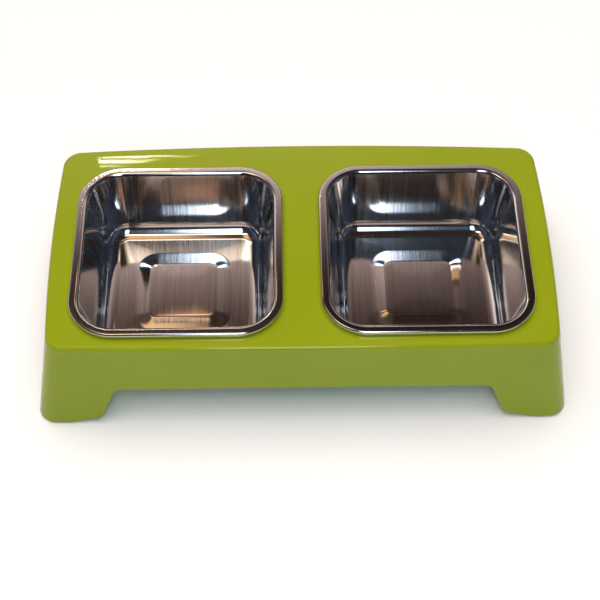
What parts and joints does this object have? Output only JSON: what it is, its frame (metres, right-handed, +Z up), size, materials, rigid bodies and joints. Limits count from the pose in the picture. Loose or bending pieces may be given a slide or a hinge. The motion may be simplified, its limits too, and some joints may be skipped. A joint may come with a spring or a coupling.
{
  "type": "double pet bowl",
  "caption": "Raised one-piece stand with arched sides that holds square pressed-steel food and water bowls, which lift straight out for washing.",
  "frame": {"origin": "on the surface that the feet rest on, under the middle of the stand's outline", "axes": "+X to the right along the width, +Y to the back, +Z up; the bowls sit nearer the front edge"},
  "size_m": [0.3584, 0.1927, 0.077],
  "materials": {
    "moulded_plastic": "high gloss, moulded in lime green",
    "bowl_steel": "bright drawn stainless with fine upright draw marks on the walls",
    "foot_rubber": "matt black moulded rubber"
  },
  "bodies": {
    "stand": {"stand": "moulded_plastic", "front_left_foot": "foot_rubber", "front_right_foot": "foot_rubber", "back_left_foot": "foot_rubber", "back_right_foot": "foot_rubber"},
    "left_bowl": {"left_bowl": "bowl_steel"},
    "right_bowl": {"right_bowl": "bowl_steel"}
  },
  "joints": [
    {"name": "left_bowl_lift", "type": "slide", "parent": "stand", "child": "left_bowl", "axis": [0, 0, 1], "range_m": [0, 0.06]},
    {"name": "right_bowl_lift", "type": "slide", "parent": "stand", "child": "right_bowl", "axis": [0, 0, 1], "range_m": [0, 0.06]}
  ]
}
